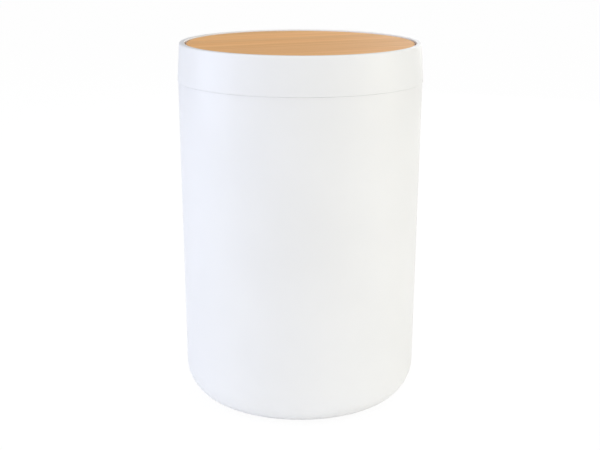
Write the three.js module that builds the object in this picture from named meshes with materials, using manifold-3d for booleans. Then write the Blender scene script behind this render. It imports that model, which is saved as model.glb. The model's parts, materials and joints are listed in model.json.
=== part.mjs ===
// Round swing-lid bin: a moulded tub, a plug-in collar ring, and a bamboo disc that swings in the collar.
// Millimetres, +Z up, origin at the bottom centre. The lid swings about an axis along X.
import * as THREE from 'three';
import { mergeVertices } from 'three/addons/utils/BufferGeometryUtils.js';
import Module from 'manifold-3d';

const wasm = await Module();
wasm.setup();

// ---------------------------------------------------------------- driving dimensions

const TOTAL_HEIGHT = 280;
const GAP = 0.3;                 // gap kept between pieces that touch on the real bin

const WALL_FOOT_RADIUS = 88.6;   // the tub's outer wall line carried down to the floor
const WALL_SLOPE = 0.01633;      // growth of that radius per millimetre of height
const WALL = 2.0;
const CORNER_RADIUS = 30.6;
const TUB_TOP = 250.9;
const FOOT_RING_WIDTH = 12;
const BASE_RECESS = 1.5;

const PAD_RADIUS = 5;
const PAD_EDGE = 0.3;
const PAD_PROUD = 0.6;           // how far the pads hold the tub off the floor
const PAD_SOCKET_DEPTH = 0.8;
const PAD_COUNT = 4;
const FIRST_PAD_ANGLE = 45;

const COLLAR_BOTTOM = 251.3;
const COLLAR_BOTTOM_RADIUS = 93.15;
const COLLAR_TOP_RADIUS = 91.6;
const COLLAR_BORE_RADIUS = 87.5;
const COLLAR_SKIRT_WALL = 1.6;
const COLLAR_INNER_WALL = 1.5;
const COLLAR_TOP_WALL = 2.8;
const COLLAR_OUTER_FILLET = 1.2;
const COLLAR_INNER_FILLET = 0.7;
const SPIGOT_BOTTOM = 240;

const RIB_COUNT = 12;
const RIB_WIDTH = 1.5;
const RIB_REACH = 90.3;
const RIB_RISE = 2.5;            // from the spigot's lower edge up to the rib
const RIB_LEAD_IN = 0.5;         // slanted foot of the rib: its width, then its height
const RIB_LEAD_IN_HEIGHT = 1.5;

const LID_RADIUS = 86.3;
const LID_THICKNESS = 6;
const LID_TOP = 279.4;
const LID_TOP_EDGE = 0.8;
const LID_BOTTOM_EDGE = 0.5;

const AXIS_BELOW_LID = 5;        // from the underside of the bamboo down to the swing axis
const SWING_LIMIT = 80;          // degrees each way, set by the stop tongues
const BOSS_FACE_X = 85;
const STOP_CLEARANCE = 0.35;
const STOP_LENGTH = 14.5;
const BEARING_HALF_WIDTH = 6;
const BEARING_HALF_HEIGHT = 6.4;

const PIN_RADIUS = 2;
const PIN_CHAMFER = 0.4;
const PIN_CLEARANCE = 0.05;
const PIN_INNER_X = 66.5;
const PIN_OUTER_X = 89.4;
const BUSH_FLANGE_RADIUS = 4;
const BUSH_FLANGE_THICKNESS = 0.6;
const BUSH_BARREL_RADIUS = 3;
const BUSH_OUTER_X = 90.2;

const CARRIER_RADIUS = 83.5;
const CARRIER_THICKNESS = 2;
const CARRIER_LIP_DEPTH = 4;
const CARRIER_LIP_WALL = 2;
const PIN_BOSS_RADIUS = 4.6;     // its crown stays just under the carrier's top
const PIN_BOSS_OUTER_X = 83.8;
const TROUGH_HALF_LENGTH = 72;
const TROUGH_HALF_WIDTH = 9;
const TROUGH_WALL = 2;
const TROUGH_END = 9;            // solid block at each end, which takes the pin and the cover screw
const TROUGH_DEPTH = 15;         // below the swing axis
const STIFFENER_X = 28;
const WEB_XS = [-45, -15, 15, 45];
const WEB_THICKNESS = 1.6;       // of the webs over the weight and of the stiffeners

const WEIGHT_HEIGHT = 8;
const COVER_THICKNESS = 2;

const SCREW_RADIUS = 1.5;
const SCREW_POINT = 1.2;
const SCREW_HEAD_RADIUS = 3.1;
const SCREW_HEAD_HEIGHT = 1.6;
const SCREW_HEAD_CROWN = 0.6;    // height of the bevel round the head
const SCREW_HEAD_BEVEL = 0.5;
const LID_SCREW_CIRCLE = 62;
const LID_SCREW_COUNT = 6;
const FIRST_LID_SCREW_ANGLE = 30;
const LID_SCREW_BITE = 3.7;      // how deep a screw enters the bamboo
const COVER_SCREW_X = 67.5;
const COVER_SCREW_BITE = 7;

const ROUND = 72;                // segments round the large rings
const SMALL_ROUND = 24;          // segments round pins, bushes, pads and screws
const HOLE_ROUND = 16;           // segments round the screw holes
const CORNER_STEPS = 9;          // segments of the tub's big corner
const EDGE_STEPS = 3;            // segments of a rounded edge
const OVERLAP = 0.7;             // how far the shapes that make up one piece run into each other
const CUT_PAST = 1;              // how far a hole runs past the face it opens
const MERGE_DISTANCE = 1e-4;

// ---------------------------------------------------------------- worked out from them

const FOOT_RING_Z = PAD_PROUD;
const CORNER_CENTRE_Z = FOOT_RING_Z + CORNER_RADIUS;
const WALL_LEAN = Math.atan(WALL_SLOPE);
const CORNER_CENTRE_R = tubRadius(CORNER_CENTRE_Z) - CORNER_RADIUS / Math.cos(WALL_LEAN);
const PAD_CIRCLE = CORNER_CENTRE_R - FOOT_RING_WIDTH / 2;
const LID_UNDERSIDE = LID_TOP - LID_THICKNESS;
const AXIS_Z = LID_UNDERSIDE - AXIS_BELOW_LID;
const INNER_WALL_MIDDLE = COLLAR_BORE_RADIUS + COLLAR_INNER_WALL / 2;
const CARRIER_TOP = LID_UNDERSIDE - GAP;
const CARRIER_UNDERSIDE = CARRIER_TOP - CARRIER_THICKNESS;
const LIP_INNER_RADIUS = CARRIER_RADIUS - CARRIER_LIP_WALL;
const LIP_BOTTOM = CARRIER_UNDERSIDE - CARRIER_LIP_DEPTH;
const INTO_PLATE = CARRIER_UNDERSIDE + OVERLAP;
const TROUGH_BOTTOM = AXIS_Z - TROUGH_DEPTH;
const POCKET_HALF_LENGTH = TROUGH_HALF_LENGTH - TROUGH_END;
const POCKET_HALF_WIDTH = TROUGH_HALF_WIDTH - TROUGH_WALL;
const WEIGHT_TOP = TROUGH_BOTTOM + WEIGHT_HEIGHT;
const COVER_TOP = TROUGH_BOTTOM - GAP;
const COVER_BOTTOM = COVER_TOP - COVER_THICKNESS;

// The two ends of the swing axis, with the sign of their X.
const ENDS = [['left', -1], ['right', 1]];

// ---------------------------------------------------------------- materials

const whitePlastic = { color: 0xf2f3f4, roughness: 0.38, metalness: 0 };
const bamboo = { color: 0xd8a878, roughness: 0.5, metalness: 0 };
const steel = { color: 0xa9abad, roughness: 0.35, metalness: 1 };
const acetal = { color: 0xe4e1d8, roughness: 0.45, metalness: 0 };
const rubber = { color: 0xc9cbcc, roughness: 0.85, metalness: 0 };

// ---------------------------------------------------------------- helpers

function tubRadius(z) {
  return WALL_FOOT_RADIUS + WALL_SLOPE * z;
}

function collarRadius(z) {
  const rise = (z - COLLAR_BOTTOM) / (TOTAL_HEIGHT - COLLAR_BOTTOM);
  return COLLAR_BOTTOM_RADIUS + rise * (COLLAR_TOP_RADIUS - COLLAR_BOTTOM_RADIUS);
}

function radians(degrees) {
  return degrees * Math.PI / 180;
}

function arc(centreR, centreZ, radius, fromAngle, toAngle, steps) {
  const points = [];
  for (let i = 0; i <= steps; i += 1) {
    const angle = fromAngle + (toAngle - fromAngle) * i / steps;
    points.push([centreR + radius * Math.cos(angle), centreZ + radius * Math.sin(angle)]);
  }
  return points;
}

// Centres of like features spread evenly on a circle, as [x, y] pairs.
function circlePlaces(count, radius, firstAngle) {
  const places = [];
  for (let i = 0; i < count; i += 1) {
    const angle = radians(firstAngle + i * 360 / count);
    places.push([radius * Math.cos(angle), radius * Math.sin(angle)]);
  }
  return places;
}

// Turns a profile of [radius, z] points about Z. The outer wall runs upwards in the list.
function turned(profile, segments) {
  const points = profile.map(([r, z]) => new THREE.Vector2(r, z));
  const geometry = new THREE.LatheGeometry(points, segments);
  geometry.rotateX(Math.PI / 2);
  return geometry;
}

function placedAtEnd(geometry, side) {
  if (side < 0) {
    geometry.rotateZ(Math.PI);
  }
  return geometry;
}

// Turns a profile of [radius, x] points about the swing axis, at one of its ends.
function turnedOnSwingAxis(profile, side) {
  const geometry = turned(profile, SMALL_ROUND);
  geometry.rotateY(Math.PI / 2);
  geometry.translate(0, 0, AXIS_Z);
  return placedAtEnd(geometry, side);
}

function block(lowX, highX, lowY, highY, lowZ, highZ) {
  const geometry = new THREE.BoxGeometry(highX - lowX, highY - lowY, highZ - lowZ);
  geometry.translate((lowX + highX) / 2, (lowY + highY) / 2, (lowZ + highZ) / 2);
  return geometry;
}

function rod(radius, lowZ, highZ, x, y, segments) {
  const geometry = turned([[0, lowZ], [radius, lowZ], [radius, highZ], [0, highZ]], segments);
  geometry.translate(x, y, 0);
  return geometry;
}

function screwHole(lowZ, highZ, x, y) {
  return rod(SCREW_RADIUS + GAP, lowZ, highZ, x, y, HOLE_ROUND);
}

function screwGeometry(headTop, tip, x, y) {
  const headBottom = headTop - SCREW_HEAD_HEIGHT;
  const geometry = turned([
    [0, headBottom],
    [SCREW_HEAD_RADIUS - SCREW_HEAD_BEVEL, headBottom],
    [SCREW_HEAD_RADIUS, headBottom + SCREW_HEAD_CROWN],
    [SCREW_HEAD_RADIUS, headTop],
    [SCREW_RADIUS, headTop],
    [SCREW_RADIUS, tip - SCREW_POINT],
    [0, tip],
  ], SMALL_ROUND);
  geometry.translate(x, y, 0);
  return geometry;
}

function toSolid(geometry) {
  const bare = geometry.clone();
  bare.deleteAttribute('normal');
  bare.deleteAttribute('uv');
  const merged = mergeVertices(bare, MERGE_DISTANCE);
  const index = merged.index.array;
  const triangles = [];
  for (let i = 0; i < index.length; i += 3) {
    const [a, b, c] = [index[i], index[i + 1], index[i + 2]];
    if (a !== b && b !== c && c !== a) {
      triangles.push(a, b, c);
    }
  }
  return new wasm.Manifold(new wasm.Mesh({
    numProp: 3,
    vertProperties: new Float32Array(merged.attributes.position.array),
    triVerts: new Uint32Array(triangles),
  }));
}

function toGeometry(solid) {
  const mesh = solid.getMesh();
  const geometry = new THREE.BufferGeometry();
  geometry.setAttribute('position', new THREE.BufferAttribute(mesh.vertProperties, 3));
  geometry.setIndex(new THREE.BufferAttribute(mesh.triVerts, 1));
  geometry.computeVertexNormals();
  return geometry;
}

function joined(geometries) {
  return geometries.map(toSolid).reduce((whole, solid) => whole.add(solid));
}

function cut(solid, geometries) {
  return geometries.map(toSolid).reduce((left, tool) => left.subtract(tool), solid);
}

const bin = new THREE.Group();

function addPart(name, shape, look) {
  const solid = shape instanceof THREE.BufferGeometry ? toSolid(shape) : shape;
  const mesh = new THREE.Mesh(toGeometry(solid), new THREE.MeshStandardMaterial(look));
  mesh.name = name;
  bin.add(mesh);
}

// ---------------------------------------------------------------- tub

const padPlaces = circlePlaces(PAD_COUNT, PAD_CIRCLE, FIRST_PAD_ANGLE);

function binBody() {
  const ringInner = CORNER_CENTRE_R - FOOT_RING_WIDTH;
  const recessZ = FOOT_RING_Z + BASE_RECESS;
  const innerArcRadius = CORNER_RADIUS - WALL;
  const profile = [
    [0, recessZ],
    [ringInner - BASE_RECESS, recessZ],
    [ringInner, FOOT_RING_Z],
    ...arc(CORNER_CENTRE_R, CORNER_CENTRE_Z, CORNER_RADIUS, -Math.PI / 2, -WALL_LEAN, CORNER_STEPS),
    [tubRadius(TUB_TOP), TUB_TOP],
    [tubRadius(TUB_TOP) - WALL, TUB_TOP],
    ...arc(CORNER_CENTRE_R, CORNER_CENTRE_Z, innerArcRadius, -WALL_LEAN, -Math.PI / 2, CORNER_STEPS),
    [ringInner, FOOT_RING_Z + WALL],
    [ringInner - BASE_RECESS, recessZ + WALL],
    [0, recessZ + WALL],
  ];
  const sockets = padPlaces.map(([x, y]) => (
    rod(PAD_RADIUS + GAP, FOOT_RING_Z - CUT_PAST, FOOT_RING_Z + PAD_SOCKET_DEPTH, x, y, SMALL_ROUND)
  ));
  return cut(toSolid(turned(profile, ROUND)), sockets);
}

addPart('bin_body', binBody(), whitePlastic);

padPlaces.forEach(([x, y], i) => {
  const top = PAD_PROUD + PAD_SOCKET_DEPTH - GAP;
  const pad = turned([
    [0, 0],
    [PAD_RADIUS - PAD_EDGE, 0],
    [PAD_RADIUS, PAD_EDGE],
    [PAD_RADIUS, top],
    [0, top],
  ], SMALL_ROUND);
  pad.translate(x, y, 0);
  addPart(`foot_pad_${i + 1}`, pad, rubber);
});

// ---------------------------------------------------------------- collar

// One rib of the channel: it centres the collar in the tub's mouth.
function collarRib(number) {
  const foot = SPIGOT_BOTTOM + RIB_RISE;
  const ledge = COLLAR_BOTTOM + GAP;
  const top = TOTAL_HEIGHT - COLLAR_TOP_WALL + OVERLAP;
  const intoSkirt = OVERLAP - COLLAR_SKIRT_WALL;
  const outline = new THREE.Shape([
    new THREE.Vector2(INNER_WALL_MIDDLE, foot),
    new THREE.Vector2(RIB_REACH - RIB_LEAD_IN, foot),
    new THREE.Vector2(RIB_REACH, foot + RIB_LEAD_IN_HEIGHT),
    new THREE.Vector2(RIB_REACH, ledge),
    new THREE.Vector2(collarRadius(ledge) + intoSkirt, ledge),
    new THREE.Vector2(collarRadius(top) + intoSkirt, top),
    new THREE.Vector2(INNER_WALL_MIDDLE, top),
  ]);
  const geometry = new THREE.ExtrudeGeometry(outline, { depth: RIB_WIDTH, bevelEnabled: false });
  geometry.rotateX(Math.PI / 2);
  geometry.translate(0, RIB_WIDTH / 2, 0);
  geometry.rotateZ(radians((number + 0.5) * 360 / RIB_COUNT));
  return geometry;
}

// Inward boss with a keystone tongue below the axis. The underside of the lid comes to rest on its sides.
function stopBoss(side) {
  const radius = AXIS_BELOW_LID - STOP_CLEARANCE;
  const lean = radians(90 - SWING_LIMIT);
  const footY = radius * Math.cos(lean) + STOP_LENGTH * Math.sin(lean);
  const footZ = radius * Math.sin(lean) - STOP_LENGTH * Math.cos(lean);
  const outline = new THREE.Shape();
  outline.moveTo(footY, footZ);
  outline.absarc(0, 0, radius, lean, Math.PI - lean, false);
  outline.lineTo(-footY, footZ);
  outline.closePath();
  const geometry = new THREE.ExtrudeGeometry(outline, {
    depth: INNER_WALL_MIDDLE - BOSS_FACE_X,
    bevelEnabled: false,
    curveSegments: SMALL_ROUND / 2,
  });
  const toYZ = new THREE.Matrix4().makeBasis(
    new THREE.Vector3(0, 1, 0),
    new THREE.Vector3(0, 0, 1),
    new THREE.Vector3(1, 0, 0),
  );
  geometry.applyMatrix4(toYZ);
  geometry.translate(BOSS_FACE_X, 0, AXIS_Z);
  return placedAtEnd(geometry, side);
}

// Solid block in the channel behind the boss, which carries the bush.
function bearingBlock(side) {
  const outer = collarRadius(AXIS_Z) - COLLAR_SKIRT_WALL + OVERLAP;
  const [width, height] = [BEARING_HALF_WIDTH, BEARING_HALF_HEIGHT];
  return placedAtEnd(block(INNER_WALL_MIDDLE, outer, -width, width, AXIS_Z - height, AXIS_Z + height), side);
}

function bushHole(side) {
  const radius = BUSH_BARREL_RADIUS + GAP;
  return turnedOnSwingAxis([
    [0, BOSS_FACE_X - CUT_PAST],
    [radius, BOSS_FACE_X - CUT_PAST],
    [radius, BUSH_OUTER_X + GAP],
    [0, BUSH_OUTER_X + GAP],
  ], side);
}

function collarRing() {
  const outerFilletR = collarRadius(TOTAL_HEIGHT - COLLAR_OUTER_FILLET) - COLLAR_OUTER_FILLET;
  const outerFilletZ = TOTAL_HEIGHT - COLLAR_OUTER_FILLET;
  const innerFilletR = COLLAR_BORE_RADIUS + COLLAR_INNER_FILLET;
  const innerFilletZ = TOTAL_HEIGHT - COLLAR_INNER_FILLET;
  const ceiling = TOTAL_HEIGHT - COLLAR_TOP_WALL;
  const channelInner = COLLAR_BORE_RADIUS + COLLAR_INNER_WALL;
  const ring = turned([
    [COLLAR_BOTTOM_RADIUS, COLLAR_BOTTOM],
    ...arc(outerFilletR, outerFilletZ, COLLAR_OUTER_FILLET, 0, Math.PI / 2, EDGE_STEPS),
    ...arc(innerFilletR, innerFilletZ, COLLAR_INNER_FILLET, Math.PI / 2, Math.PI, EDGE_STEPS),
    [COLLAR_BORE_RADIUS, SPIGOT_BOTTOM],
    [channelInner, SPIGOT_BOTTOM],
    [channelInner, ceiling],
    [collarRadius(ceiling) - COLLAR_SKIRT_WALL, ceiling],
    [COLLAR_BOTTOM_RADIUS - COLLAR_SKIRT_WALL, COLLAR_BOTTOM],
    [COLLAR_BOTTOM_RADIUS, COLLAR_BOTTOM],
  ], ROUND);
  const pieces = [ring];
  for (let i = 0; i < RIB_COUNT; i += 1) {
    pieces.push(collarRib(i));
  }
  for (const [, side] of ENDS) {
    pieces.push(stopBoss(side), bearingBlock(side));
  }
  return cut(joined(pieces), ENDS.map(([, side]) => bushHole(side)));
}

addPart('collar_ring', collarRing(), whitePlastic);

for (const [end, side] of ENDS) {
  const bore = PIN_RADIUS + PIN_CLEARANCE;
  const flangeBack = BOSS_FACE_X - GAP;
  const flangeFront = flangeBack - BUSH_FLANGE_THICKNESS;
  const bush = turnedOnSwingAxis([
    [bore, flangeFront],
    [BUSH_FLANGE_RADIUS, flangeFront],
    [BUSH_FLANGE_RADIUS, flangeBack],
    [BUSH_BARREL_RADIUS, flangeBack],
    [BUSH_BARREL_RADIUS, BUSH_OUTER_X],
    [bore, BUSH_OUTER_X],
    [bore, flangeFront],
  ], side);
  addPart(`pivot_bush_${end}`, bush, acetal);
}

// ---------------------------------------------------------------- lid

const lidScrewPlaces = circlePlaces(LID_SCREW_COUNT, LID_SCREW_CIRCLE, FIRST_LID_SCREW_ANGLE);

function lidPanel() {
  const [low, high] = [LID_UNDERSIDE + LID_BOTTOM_EDGE, LID_TOP - LID_TOP_EDGE];
  const disc = turned([
    [0, LID_UNDERSIDE],
    [LID_RADIUS - LID_BOTTOM_EDGE, LID_UNDERSIDE],
    [LID_RADIUS, low],
    ...arc(LID_RADIUS - LID_TOP_EDGE, high, LID_TOP_EDGE, 0, Math.PI / 2, EDGE_STEPS),
    [0, LID_TOP],
  ], ROUND);
  const holeTop = LID_UNDERSIDE + LID_SCREW_BITE + GAP;
  const holes = lidScrewPlaces.map(([x, y]) => screwHole(LID_UNDERSIDE - CUT_PAST, holeTop, x, y));
  return cut(toSolid(disc), holes);
}

addPart('lid_panel', lidPanel(), bamboo);

function carrierPlate() {
  return turned([
    [0, CARRIER_UNDERSIDE],
    [LIP_INNER_RADIUS, CARRIER_UNDERSIDE],
    [LIP_INNER_RADIUS, LIP_BOTTOM],
    [CARRIER_RADIUS, LIP_BOTTOM],
    [CARRIER_RADIUS, CARRIER_TOP],
    [0, CARRIER_TOP],
  ], ROUND);
}

function trough() {
  const [length, width] = [TROUGH_HALF_LENGTH, TROUGH_HALF_WIDTH];
  return block(-length, length, -width, width, TROUGH_BOTTOM, INTO_PLATE);
}

function weightPocket() {
  const [length, width] = [POCKET_HALF_LENGTH, POCKET_HALF_WIDTH];
  return block(-length, length, -width, width, TROUGH_BOTTOM - CUT_PAST, CARRIER_UNDERSIDE);
}

// A thin upright wall across the carrier at one X.
function webAt(x, lowY, highY, lowZ) {
  return block(x - WEB_THICKNESS / 2, x + WEB_THICKNESS / 2, lowY, highY, lowZ, INTO_PLATE);
}

function stiffenersAt(x) {
  const inner = TROUGH_HALF_WIDTH - OVERLAP;
  const outer = Math.sqrt(LIP_INNER_RADIUS ** 2 - x ** 2) + OVERLAP;
  return [webAt(x, inner, outer, LIP_BOTTOM), webAt(x, -outer, -inner, LIP_BOTTOM)];
}

// The boss that holds a pin, and the web that ties it to the plate.
function pinBoss(side) {
  const inner = TROUGH_HALF_LENGTH - OVERLAP;
  const barrel = turnedOnSwingAxis([
    [0, inner],
    [PIN_BOSS_RADIUS, inner],
    [PIN_BOSS_RADIUS, PIN_BOSS_OUTER_X],
    [0, PIN_BOSS_OUTER_X],
  ], side);
  const outer = CARRIER_RADIUS - OVERLAP;
  const web = block(inner, outer, -PIN_BOSS_RADIUS, PIN_BOSS_RADIUS, AXIS_Z, INTO_PLATE);
  return [barrel, placedAtEnd(web, side)];
}

function pinHole(side) {
  return turnedOnSwingAxis([
    [0, PIN_INNER_X - GAP],
    [PIN_RADIUS + GAP, PIN_INNER_X - GAP],
    [PIN_RADIUS + GAP, PIN_BOSS_OUTER_X + CUT_PAST],
    [0, PIN_BOSS_OUTER_X + CUT_PAST],
  ], side);
}

function lidCarrier() {
  const shell = cut(joined([carrierPlate(), trough()]), [weightPocket()]);
  const webReach = POCKET_HALF_WIDTH + OVERLAP;
  const ribs = joined([
    ...ENDS.flatMap(([, side]) => pinBoss(side)),
    ...WEB_XS.map((x) => webAt(x, -webReach, webReach, WEIGHT_TOP + GAP)),
    ...stiffenersAt(-STIFFENER_X),
    ...stiffenersAt(STIFFENER_X),
  ]);
  const coverHoleTop = TROUGH_BOTTOM + COVER_SCREW_BITE + GAP;
  const holes = [
    ...ENDS.map(([, side]) => pinHole(side)),
    ...lidScrewPlaces.map(([x, y]) => (
      screwHole(CARRIER_UNDERSIDE - CUT_PAST, CARRIER_TOP + CUT_PAST, x, y)
    )),
    ...ENDS.map(([, side]) => (
      screwHole(TROUGH_BOTTOM - CUT_PAST, coverHoleTop, side * COVER_SCREW_X, 0)
    )),
  ];
  return cut(shell.add(ribs), holes);
}

addPart('lid_carrier', lidCarrier(), whitePlastic);

for (const [end, side] of ENDS) {
  const pin = turnedOnSwingAxis([
    [0, PIN_INNER_X],
    [PIN_RADIUS, PIN_INNER_X],
    [PIN_RADIUS, PIN_OUTER_X - PIN_CHAMFER],
    [PIN_RADIUS - PIN_CHAMFER, PIN_OUTER_X],
    [0, PIN_OUTER_X],
  ], side);
  addPart(`pivot_pin_${end}`, pin, steel);
}

function counterweight() {
  const [length, width] = [POCKET_HALF_LENGTH - GAP, POCKET_HALF_WIDTH - GAP];
  return block(-length, length, -width, width, TROUGH_BOTTOM, WEIGHT_TOP);
}

addPart('counterweight', counterweight(), steel);

function weightCover() {
  const [length, width] = [TROUGH_HALF_LENGTH, TROUGH_HALF_WIDTH];
  const strip = block(-length, length, -width, width, COVER_BOTTOM, COVER_TOP);
  const holes = ENDS.map(([, side]) => (
    screwHole(COVER_BOTTOM - CUT_PAST, COVER_TOP + CUT_PAST, side * COVER_SCREW_X, 0)
  ));
  return cut(toSolid(strip), holes);
}

addPart('counterweight_cover', weightCover(), whitePlastic);

for (const [end, side] of ENDS) {
  const tip = TROUGH_BOTTOM + COVER_SCREW_BITE;
  addPart(`cover_screw_${end}`, screwGeometry(COVER_BOTTOM - GAP, tip, side * COVER_SCREW_X, 0), steel);
}

lidScrewPlaces.forEach(([x, y], i) => {
  const tip = LID_UNDERSIDE + LID_SCREW_BITE;
  addPart(`lid_screw_${i + 1}`, screwGeometry(CARRIER_UNDERSIDE - GAP, tip, x, y), steel);
});

export default bin;
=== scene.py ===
# A round swing-lid bin: a moulded tub, a plug-in collar ring, and a bamboo disc that swings in the collar.
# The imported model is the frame. Each section below makes one piece, or one group of like pieces.
import json
import math

import bpy
from mathutils import Euler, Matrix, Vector


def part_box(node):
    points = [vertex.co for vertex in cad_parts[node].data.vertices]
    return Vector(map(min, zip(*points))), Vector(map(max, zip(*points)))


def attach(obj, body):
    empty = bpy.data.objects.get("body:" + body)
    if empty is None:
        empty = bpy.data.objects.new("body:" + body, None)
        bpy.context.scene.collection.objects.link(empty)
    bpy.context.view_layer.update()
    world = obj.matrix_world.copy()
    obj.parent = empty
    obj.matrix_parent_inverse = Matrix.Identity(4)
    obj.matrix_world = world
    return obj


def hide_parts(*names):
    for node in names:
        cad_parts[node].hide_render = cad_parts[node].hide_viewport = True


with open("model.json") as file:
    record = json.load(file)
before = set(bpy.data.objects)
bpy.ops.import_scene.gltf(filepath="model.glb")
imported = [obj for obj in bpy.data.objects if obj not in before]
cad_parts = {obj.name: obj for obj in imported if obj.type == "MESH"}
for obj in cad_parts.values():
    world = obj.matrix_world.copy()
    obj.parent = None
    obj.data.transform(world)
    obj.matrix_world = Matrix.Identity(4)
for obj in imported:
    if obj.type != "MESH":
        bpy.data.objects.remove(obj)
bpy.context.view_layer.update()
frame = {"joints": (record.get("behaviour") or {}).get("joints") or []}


# ---------------------------------------------------------------- camera, light and floor
# The bin stands on a white sweep, seen from a little above its lid, with the swing axis turned away from
# the viewer at its right end. Four big soft lamps light it in a white room: left, right, behind and above.

CAMERA_TURN = math.radians(-23)
CAMERA_DISTANCE = 1.052
CAMERA_HEIGHT = 0.3953
CAMERA_PITCH = math.radians(13.79)
CAMERA_ROLL = math.radians(0.15)
CAMERA_LENS_MM = 83.2
ROOM_BRIGHT_SIDE = CAMERA_TURN + math.radians(15)
ROOM_LIGHT_MOST = 1.05
ROOM_LIGHT_LEAST = 0.21
FLOOR_GLOW = 0.135
FLOOR_GLARE = 1.02
FLOOR_SHADE_SHOWN = 0.1
FLOOR_SIZE = 24
FLOOR_DROP = 0.0002        # keeps the floor from meeting the pads face to face
LAMP_AIM = Vector((0, 0, 0.14))
LAMPS = (                  # name, degrees round from the viewer, distance, height, size, watts, colour
    ("lamp_left", -85, 1.5, 0.45, 1.1, 8.4, (0.66, 0.747, 1.0)),
    ("lamp_right", 75, 1.5, 0.45, 1.1, 4.1, (1.0, 0.951, 0.673)),
    ("lamp_behind", 158, 1.5, 0.55, 0.9, 3.0, (1.0, 1.0, 1.0)),
    ("lamp_above", 0, 0.01, 1.6, 1.2, 4.0, (1.0, 1.0, 1.0)),
)


def deselect_all():
    bpy.ops.object.select_all(action="DESELECT")


def place_camera():
    out = Vector((math.sin(CAMERA_TURN), -math.cos(CAMERA_TURN), 0)) * CAMERA_DISTANCE
    tilt = Euler((math.pi / 2 - CAMERA_PITCH, 0, CAMERA_TURN))
    tilt.rotate_axis("Z", CAMERA_ROLL)
    bpy.ops.object.camera_add(location=(out.x, out.y, CAMERA_HEIGHT), rotation=tilt)
    camera = bpy.context.object
    camera.data.lens = CAMERA_LENS_MM
    camera.data.sensor_width = 36
    bpy.context.scene.camera = camera


def soft_lamp(name, turn_deg, distance, height, size, watts, colour):
    """A square soft box, turned round the bin from the viewer's side and aimed at the bin's middle."""
    turn = CAMERA_TURN + math.radians(turn_deg)
    place = Vector((math.sin(turn) * distance, -math.cos(turn) * distance, height))
    aim = LAMP_AIM - place
    bpy.ops.object.light_add(
        type="AREA", location=place, rotation=aim.to_track_quat("-Z", "Y").to_euler()
    )
    lamp = bpy.context.object
    lamp.name = name
    lamp.data.size = size
    lamp.data.energy = watts
    lamp.data.color = colour
    lamp.visible_camera = False


def light_room():
    """A white room, brightest on the viewer's side, with a cool lamp at left and a warm one at right."""
    world = bpy.data.worlds.new("white_room")
    world.use_nodes = True
    tree = world.node_tree
    link = tree.links.new
    background = tree.nodes["Background"]
    background.inputs["Color"].default_value = (1.0, 1.0, 1.0, 1.0)
    direction = tree.nodes.new("ShaderNodeTexCoord")
    facing = tree.nodes.new("ShaderNodeVectorMath")
    facing.operation = "DOT_PRODUCT"
    facing.inputs[1].default_value = (math.sin(ROOM_BRIGHT_SIDE), -math.cos(ROOM_BRIGHT_SIDE), 0)
    link(direction.outputs["Generated"], facing.inputs[0])
    level = tree.nodes.new("ShaderNodeMapRange")
    for key, value in (("From Min", -1.0), ("To Min", ROOM_LIGHT_LEAST), ("To Max", ROOM_LIGHT_MOST)):
        level.inputs[key].default_value = value
    link(facing.outputs["Value"], level.inputs["Value"])
    ray = tree.nodes.new("ShaderNodeLightPath")
    seen = tree.nodes.new("ShaderNodeMath")
    seen.operation = "MAXIMUM"
    link(ray.outputs["Is Camera Ray"], seen.inputs[0])
    link(level.outputs["Result"], seen.inputs[1])
    link(seen.outputs["Value"], background.inputs["Strength"])
    bpy.context.scene.world = world
    for lamp in LAMPS:
        soft_lamp(*lamp)


def lay_floor():
    """The floor bounces light like white card. To the viewer it looks blown out, with a trace of shade."""
    deselect_all()
    bpy.ops.mesh.primitive_plane_add(size=FLOOR_SIZE, location=(0, 0, -FLOOR_DROP))
    floor = bpy.context.object
    floor.name = "floor"
    white = bpy.data.materials.new("floor_white")
    white.use_nodes = True
    tree = white.node_tree
    link = tree.links.new
    card = tree.nodes["Principled BSDF"]
    card.inputs["Base Color"].default_value = (0.92, 0.92, 0.92, 1)
    card.inputs["Roughness"].default_value = 0.9
    card.inputs["Specular IOR Level"].default_value = 0.0
    card.inputs["Emission Color"].default_value = (1, 1, 1, 1)
    card.inputs["Emission Strength"].default_value = FLOOR_GLOW
    blown_out = tree.nodes.new("ShaderNodeEmission")
    blown_out.inputs["Strength"].default_value = FLOOR_GLARE
    ray = tree.nodes.new("ShaderNodeLightPath")
    share = tree.nodes.new("ShaderNodeMath")
    share.operation = "MULTIPLY"
    share.inputs[1].default_value = 1 - FLOOR_SHADE_SHOWN
    link(ray.outputs["Is Camera Ray"], share.inputs[0])
    mix = tree.nodes.new("ShaderNodeMixShader")
    link(share.outputs["Value"], mix.inputs["Fac"])
    link(card.outputs["BSDF"], mix.inputs[1])
    link(blown_out.outputs["Emission"], mix.inputs[2])
    link(mix.outputs["Shader"], tree.nodes["Material Output"].inputs["Surface"])
    floor.data.materials.append(white)


place_camera()
light_room()
lay_floor()
bpy.context.scene.view_settings.view_transform = "Standard"


# ---------------------------------------------------------------- tub
# The tub is one injection moulding in white polypropylene with a 2 mm wall. It widens a little upwards so
# that it leaves the mould, and turns into the base through a big round corner. It stands on a flat foot ring.

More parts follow.
